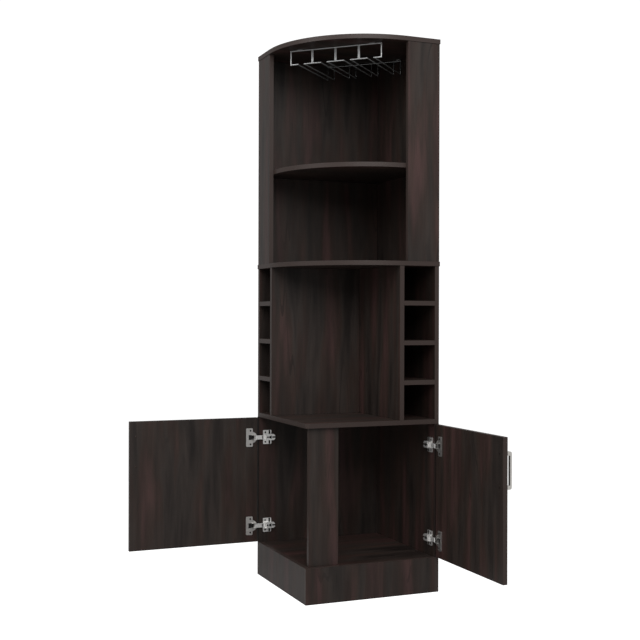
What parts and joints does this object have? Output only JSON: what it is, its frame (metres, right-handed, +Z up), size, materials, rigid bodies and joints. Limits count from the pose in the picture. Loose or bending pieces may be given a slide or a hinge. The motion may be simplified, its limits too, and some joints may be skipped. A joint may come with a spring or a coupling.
{
  "type": "corner bar cabinet",
  "caption": "Tall corner bar cabinet with two hinged doors, bottle slots, open shelves under a rounded top and a hanging wire rack for stemware.",
  "frame": {"origin": "rear corner of the square footprint on the floor, where the outer faces of the two back walls meet", "axes": "+Z up; the cabinet lies on the -X and -Y side of the origin, its open faces look to -X and -Y"},
  "size_m": [0.941, 0.9105, 1.8],
  "materials": {
    "board": "dark wenge melamine with a fine vertical grain, satin",
    "handle": "satin nickel",
    "hinge_steel": "nickel-plated pressed steel",
    "rack_wire": "bright chrome"
  },
  "bodies": {
    "cabinet": {"corner_post": "board", "counter": "board", "cubby_shelf_left_1": "board", "cubby_shelf_left_2": "board", "cubby_shelf_left_3": "board", "cubby_shelf_right_1": "board", "cubby_shelf_right_2": "board", "cubby_shelf_right_3": "board", "cupboard_floor": "board", "deck": "board", "divider_left": "board", "divider_right": "board", "hinge_arm_left_lower": "hinge_steel", "hinge_arm_left_upper": "hinge_steel", "hinge_arm_right_lower": "hinge_steel", "hinge_arm_right_upper": "hinge_steel", "hinge_pins": "hinge_steel", "hinge_plate_left_lower": "hinge_steel", "hinge_plate_left_upper": "hinge_steel", "hinge_plate_right_lower": "hinge_steel", "hinge_plate_right_upper": "hinge_steel", "kickboard_left": "board", "kickboard_right": "board", "lower_wall_left": "board", "lower_wall_right": "board", "rack_feet": "rack_wire", "rack_frame": "rack_wire", "rack_posts": "rack_wire", "rack_rails": "rack_wire", "rack_rear_wire": "rack_wire", "rack_risers": "rack_wire", "rack_tabs": "rack_wire", "top_panel": "board", "upper_shelf": "board", "upper_wall_left": "board", "upper_wall_right": "board", "wing_left": "board", "wing_right": "board"},
    "left_door": {"hinge_cup_left_lower": "hinge_steel", "hinge_cup_left_upper": "hinge_steel", "left_door": "board", "left_handle": "handle"},
    "right_door": {"hinge_cup_right_lower": "hinge_steel", "hinge_cup_right_upper": "hinge_steel", "right_door": "board", "right_handle": "handle"},
    "left_links": {"hinge_link_left_lower": "hinge_steel", "hinge_link_left_upper": "hinge_steel"},
    "right_links": {"hinge_link_right_lower": "hinge_steel", "hinge_link_right_upper": "hinge_steel"}
  },
  "joints": [
    {"name": "right_door_hinge", "type": "hinge", "parent": "cabinet", "child": "right_door", "pos_m": [-0.00525, -0.45725, 0.33], "axis": [0, 0, 1], "range_deg": [-90, 5]},
    {"name": "left_door_hinge", "type": "hinge", "parent": "cabinet", "child": "left_door", "pos_m": [-0.45725, -0.00525, 0.33], "axis": [0, 0, 1], "range_deg": [-5, 90]},
    {"name": "right_links_pin", "type": "hinge", "parent": "cabinet", "child": "right_links", "pos_m": [-0.021, -0.444, 0.33], "axis": [0, 0, 1], "range_deg": [-90, 5]},
    {"name": "left_links_pin", "type": "hinge", "parent": "cabinet", "child": "left_links", "pos_m": [-0.444, -0.021, 0.33], "axis": [0, 0, 1], "range_deg": [-5, 90]}
  ],
  "couplings": [
    {"joint": "right_links_pin", "follows": "right_door_hinge", "ratio": 1},
    {"joint": "left_links_pin", "follows": "left_door_hinge", "ratio": 1}
  ]
}
